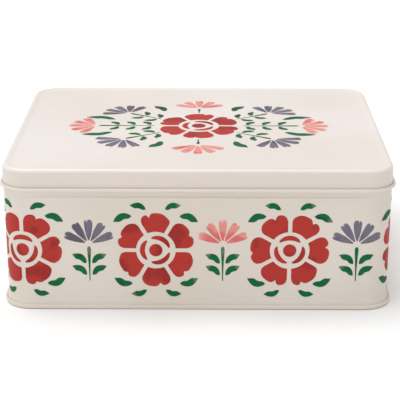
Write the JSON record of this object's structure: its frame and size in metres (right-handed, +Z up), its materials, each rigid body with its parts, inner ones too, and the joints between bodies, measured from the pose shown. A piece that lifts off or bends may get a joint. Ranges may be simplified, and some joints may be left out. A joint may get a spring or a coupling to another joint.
{
  "type": "rectangular tinplate storage tin with lift-off lid",
  "caption": "Rectangular sheet-metal storage tin with rounded corners, a slip-on lift-off lid with a rolled hem, and a seamed base.",
  "frame": {"origin": "middle of the rectangle that the tin stands on", "axes": "+X along the tin's length, +Y towards the back where the lock seam is, +Z up through the lid"},
  "size_m": [0.2498, 0.1948, 0.0934],
  "materials": {
    "printed_wall": "cream ground coat with a printed pattern under a satin clear coat, bare tinplate inside",
    "base_tinplate": "satin cream coat outside, bare tinplate inside",
    "printed_lid": "cream ground coat with a printed pattern under a satin clear coat, bare tinplate inside"
  },
  "bodies": {
    "tin_body": {"body_wall": "printed_wall", "base_panel": "base_tinplate"},
    "lid": {"lid_shell": "printed_lid"}
  },
  "joints": [
    {"name": "lid_lift", "type": "slide", "parent": "tin_body", "child": "lid", "axis": [0, 0, 1], "range_m": [0, 0.15]}
  ]
}
